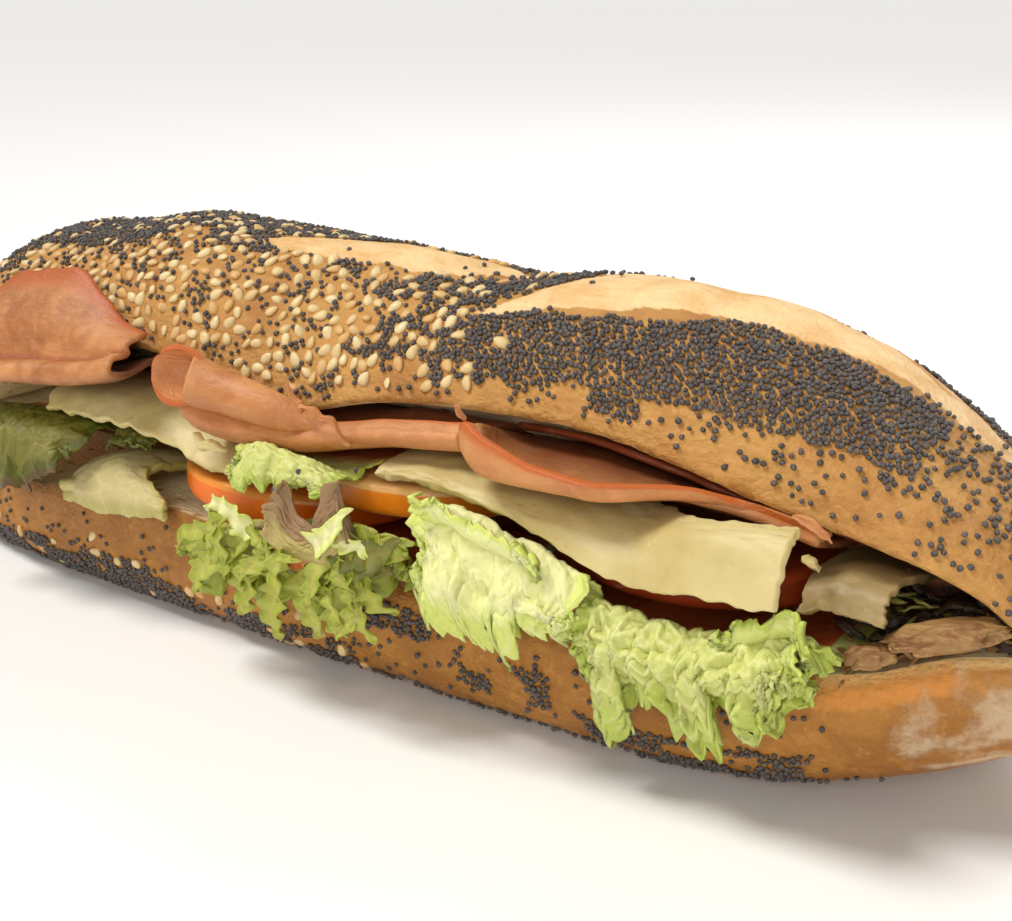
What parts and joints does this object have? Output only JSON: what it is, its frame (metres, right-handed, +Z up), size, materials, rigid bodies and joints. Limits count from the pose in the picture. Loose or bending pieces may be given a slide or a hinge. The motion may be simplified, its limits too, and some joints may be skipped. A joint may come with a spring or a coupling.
{
  "type": "submarine sandwich",
  "caption": "Long crusty seeded roll sliced lengthways and filled with folded ham, cheese slices, tomato and frilly lettuce that spill out along one side.",
  "frame": {"origin": "middle of the underside, under the middle of the whole sandwich's outline", "axes": "+X along the roll towards its nearer end in the picture, +Z up, -Y towards the open side where the filling shows"},
  "size_m": [0.29, 0.0902, 0.0753],
  "materials": {
    "crust_lower": "baked golden-brown crust, matt, with seeds pressed in",
    "crust_upper": "baked golden crust with paler scored strips and seeds pressed in",
    "ham": "moist cooked ham, semi-gloss",
    "cheese": "pale yellow sliced cheese, satin",
    "tomato": "wet sliced tomato",
    "lettuce_green": "fresh curly leaf, satin",
    "lettuce_pale": "pale ribbed leaf, satin",
    "lettuce_red": "green leaf with purple-brown tips, satin",
    "leaf_dark": "dark purple-brown leaf, satin",
    "meat": "torn cooked meat, matt"
  },
  "bodies": {
    "root": {"bread_bottom": "crust_lower", "bread_top": "crust_upper", "ham_left": "ham", "ham_middle": "ham", "ham_right": "ham", "ham_flat": "ham", "cheese_left": "cheese", "cheese_middle": "cheese", "cheese_right": "cheese", "tomato_left": "tomato", "tomato_middle": "tomato", "tomato_right": "tomato", "lettuce_rib": "lettuce_pale", "lettuce_inner": "lettuce_green", "lettuce_far_left": "lettuce_green", "lettuce_small": "lettuce_green", "lettuce_red_tipped": "lettuce_red", "lettuce_red_lobe": "lettuce_red", "lettuce_curly_left": "lettuce_green", "lettuce_curly_right": "lettuce_green", "lettuce_dark": "leaf_dark", "meat_strip": "meat", "meat_scrap": "meat"}
  },
  "joints": []
}
